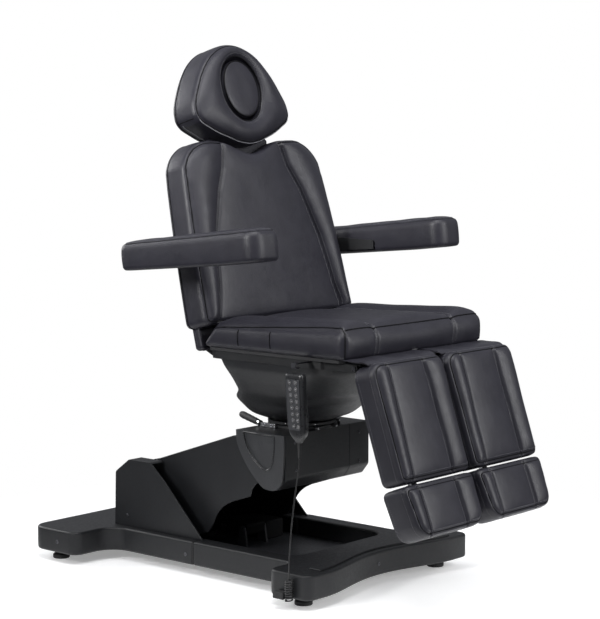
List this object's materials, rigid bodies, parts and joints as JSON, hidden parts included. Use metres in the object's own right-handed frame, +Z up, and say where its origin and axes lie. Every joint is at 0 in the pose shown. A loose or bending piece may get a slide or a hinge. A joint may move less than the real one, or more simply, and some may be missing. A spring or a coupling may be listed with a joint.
{
  "type": "electric treatment chair",
  "caption": "Electric treatment chair: padded seat, reclining back, headrest with face hole, armrests, split leg and foot rests on a swivel head and lift arm over a wide base",
  "frame": {"origin": "on the floor, under the middle of the whole chair's box", "axes": "+Z up; the sitter faces -Y, so +Y is the chair's back; +X is the sitter's left"},
  "size_m": [0.824, 1.239, 1.367],
  "materials": {
    "leather": "satin grained",
    "moulded_plastic": "fine satin texture",
    "rubber": "matte",
    "chrome": "polished",
    "painted_steel": "black powder coat",
    "board": "plain plywood"
  },
  "bodies": {
    "base": {"base_front_frame": "moulded_plastic", "base_rear_frame": "moulded_plastic", "base_tray": "moulded_plastic", "levelling_foot_front_right": "rubber", "levelling_foot_front_left": "rubber", "levelling_foot_rear_right": "rubber", "levelling_foot_rear_left": "rubber", "rear_housing": "moulded_plastic", "lift_bracket": "painted_steel", "lower_pivot_shaft": "chrome", "control_box": "moulded_plastic", "mains_inlet": "moulded_plastic", "pendant_cord_gland": "rubber", "pendant_cord_coil": "rubber"},
    "lift_arm": {"lift_arm": "painted_steel", "arm_cover": "moulded_plastic"},
    "tension_link": {"tension_link": "painted_steel"},
    "lift_motor": {"lift_motor": "moulded_plastic"},
    "lift_rod": {"lift_rod": "chrome"},
    "head": {"head_casting": "painted_steel", "upper_pivot_shaft": "chrome", "head_cover_right": "moulded_plastic", "head_cover_left": "moulded_plastic", "head_front_panel": "moulded_plastic", "turntable_lower_plate": "painted_steel"},
    "lock_lever": {"lever_clamp": "chrome", "lever_grip": "rubber"},
    "seat": {"turntable_upper_plate": "painted_steel", "under_seat_cover": "moulded_plastic", "seat_column": "painted_steel", "seat_frame": "painted_steel", "leg_hinge_shaft": "chrome", "seat_board": "board", "seat_cushion": "leather", "back_actuator": "moulded_plastic", "leg_actuator": "moulded_plastic", "pendant_hook": "chrome", "pendant_body": "moulded_plastic", "pendant_keypad": "rubber", "pendant_cord_lead": "rubber"},
    "backrest": {"backrest_cushion": "leather", "backrest_board": "moulded_plastic"},
    "headrest_slide": {"headrest_posts": "chrome"},
    "headrest": {"headrest_cushion": "leather", "headrest_plug": "leather", "headrest_board": "moulded_plastic"},
    "armrest_bracket_right": {"armrest_bracket_right": "painted_steel"},
    "armrest_right": {"armrest_pad_right": "leather"},
    "leg_right": {"leg_pad_right": "leather", "leg_frame_right": "painted_steel"},
    "foot_slide_right": {"foot_slide_right": "chrome"},
    "foot_right": {"foot_pad_right": "leather", "foot_frame_right": "painted_steel"},
    "armrest_bracket_left": {"armrest_bracket_left": "painted_steel"},
    "armrest_left": {"armrest_pad_left": "leather"},
    "leg_left": {"leg_pad_left": "leather", "leg_frame_left": "painted_steel"},
    "foot_slide_left": {"foot_slide_left": "chrome"},
    "foot_left": {"foot_pad_left": "leather", "foot_frame_left": "painted_steel"}
  },
  "joints": [
    {"name": "lift", "type": "hinge", "parent": "base", "child": "lift_arm", "pos_m": [0, 0.3695, 0.17], "axis": [-1, 0, 0], "range_deg": [0, 38]},
    {"name": "head_level", "type": "hinge", "parent": "lift_arm", "child": "head", "pos_m": [0, -0.0305, 0.305], "axis": [-1, 0, 0], "range_deg": [-38.2, 0.2]},
    {"name": "link_swing", "type": "hinge", "parent": "base", "child": "tension_link", "pos_m": [0, 0.3695, 0.215], "axis": [-1, 0, 0], "range_deg": [-0.2, 38.2]},
    {"name": "motor_tilt", "type": "hinge", "parent": "base", "child": "lift_motor", "pos_m": [0, 0.1595, 0.084], "axis": [1, 0, 0], "range_deg": [-0.2, 16.4]},
    {"name": "rod_pull", "type": "slide", "parent": "lift_motor", "child": "lift_rod", "axis": [0, 0.9882, 0.1532], "range_m": [-0.018, 0.001]},
    {"name": "lever_turn", "type": "hinge", "parent": "head", "child": "lock_lever", "pos_m": [-0.087, -0.0165, 0.388], "axis": [0, 0, 1], "range_deg": [-15, 10]},
    {"name": "swivel", "type": "hinge", "parent": "head", "child": "seat", "pos_m": [0, -0.0305, 0.384], "axis": [0, 0, 1], "range_deg": [-120, 120], "deforming": ["pendant_cord_lead"]},
    {"name": "recline", "type": "hinge", "parent": "seat", "child": "backrest", "pos_m": [0, 0.0845, 0.6], "axis": [-1, 0, 0], "range_deg": [0, 74]},
    {"name": "headrest_height", "type": "slide", "parent": "backrest", "child": "headrest_slide", "axis": [0, 0.2419, 0.9703], "range_m": [0, 0.1]},
    {"name": "headrest_tilt", "type": "hinge", "parent": "headrest_slide", "child": "headrest", "pos_m": [0, 0.28158, 1.1681], "axis": [-1, 0, 0], "range_deg": [-8, 35]},
    {"name": "armrest_level_right", "type": "hinge", "parent": "backrest", "child": "armrest_bracket_right", "pos_m": [-0.3, 0.1295, 0.836], "axis": [-1, 0, 0], "range_deg": [-74.2, 0.2]},
    {"name": "armrest_fold_right", "type": "hinge", "parent": "armrest_bracket_right", "child": "armrest_right", "pos_m": [-0.3, 0.1295, 0.836], "axis": [-1, 0, 0], "range_deg": [0, 85]},
    {"name": "armrest_level_left", "type": "hinge", "parent": "backrest", "child": "armrest_bracket_left", "pos_m": [0.3, 0.1295, 0.836], "axis": [-1, 0, 0], "range_deg": [-74.2, 0.2]},
    {"name": "armrest_fold_left", "type": "hinge", "parent": "armrest_bracket_left", "child": "armrest_left", "pos_m": [0.3, 0.1295, 0.836], "axis": [-1, 0, 0], "range_deg": [0, 85]},
    {"name": "leg_lift_right", "type": "hinge", "parent": "seat", "child": "leg_right", "pos_m": [-0.144, -0.4055, 0.586], "axis": [-1, 0, 0], "range_deg": [-12, 72]},
    {"name": "foot_extend_right", "type": "slide", "parent": "leg_right", "child": "foot_slide_right", "axis": [0, -0.3173, -0.9483], "range_m": [0, 0.12]},
    {"name": "foot_tilt_right", "type": "hinge", "parent": "foot_slide_right", "child": "foot_right", "pos_m": [-0.144, -0.50074, 0.30017], "axis": [-1, 0, 0], "range_deg": [-25, 3]},
    {"name": "leg_lift_left", "type": "hinge", "parent": "seat", "child": "leg_left", "pos_m": [0.144, -0.4055, 0.586], "axis": [-1, 0, 0], "range_deg": [-12, 72]},
    {"name": "foot_extend_left", "type": "slide", "parent": "leg_left", "child": "foot_slide_left", "axis": [0, -0.3173, -0.9483], "range_m": [0, 0.12]},
    {"name": "foot_tilt_left", "type": "hinge", "parent": "foot_slide_left", "child": "foot_left", "pos_m": [0.144, -0.50074, 0.30017], "axis": [-1, 0, 0], "range_deg": [-25, 3]}
  ],
  "couplings": [
    {"joint": "head_level", "follows": "lift", "ratio": -1},
    {"joint": "link_swing", "follows": "lift", "ratio": 1},
    {"joint": "motor_tilt", "follows": "lift", "ratio": 0.4236},
    {"joint": "rod_pull", "follows": "lift", "m_per_rad": -0.02575},
    {"joint": "armrest_level_right", "follows": "recline", "ratio": -1},
    {"joint": "armrest_level_left", "follows": "recline", "ratio": -1}
  ]
}
